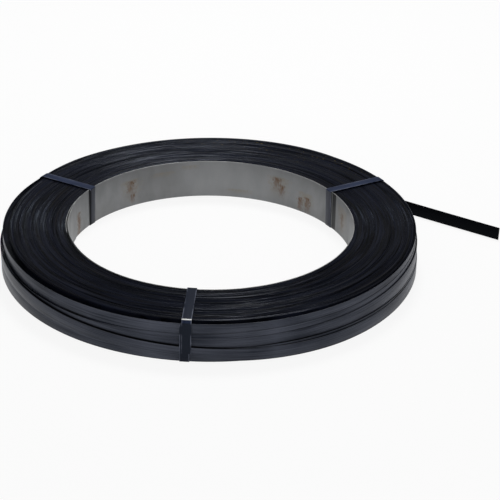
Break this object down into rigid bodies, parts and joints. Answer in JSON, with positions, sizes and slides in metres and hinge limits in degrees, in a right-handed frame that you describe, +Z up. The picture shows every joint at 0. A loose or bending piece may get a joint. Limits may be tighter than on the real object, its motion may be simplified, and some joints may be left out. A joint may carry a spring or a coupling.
{
  "type": "steel strapping coil",
  "caption": "Flat-lying coil of black steel strapping wound in lanes on a bare steel core hoop, with a free end standing out and tie straps round its section.",
  "frame": {"origin": "on the axis of the bore, at the level of the floor that the coil lies on", "axes": "+Z up along the bore's axis, -Y towards the front tie, +X to the side where the free end stands out"},
  "size_m": [0.7175, 0.5926, 0.0592],
  "materials": {
    "strapping": "black lacquered steel strap, satin",
    "hoop": "bare cold-rolled sheet, dull, with a few rust stains",
    "tie": "black lacquered steel strap, satin, a little worn at the bends"
  },
  "bodies": {
    "root": {"strapping_coil": "strapping", "core_hoop": "hoop", "tie_front": "tie", "tie_left": "tie", "tie_right": "tie"}
  },
  "joints": []
}
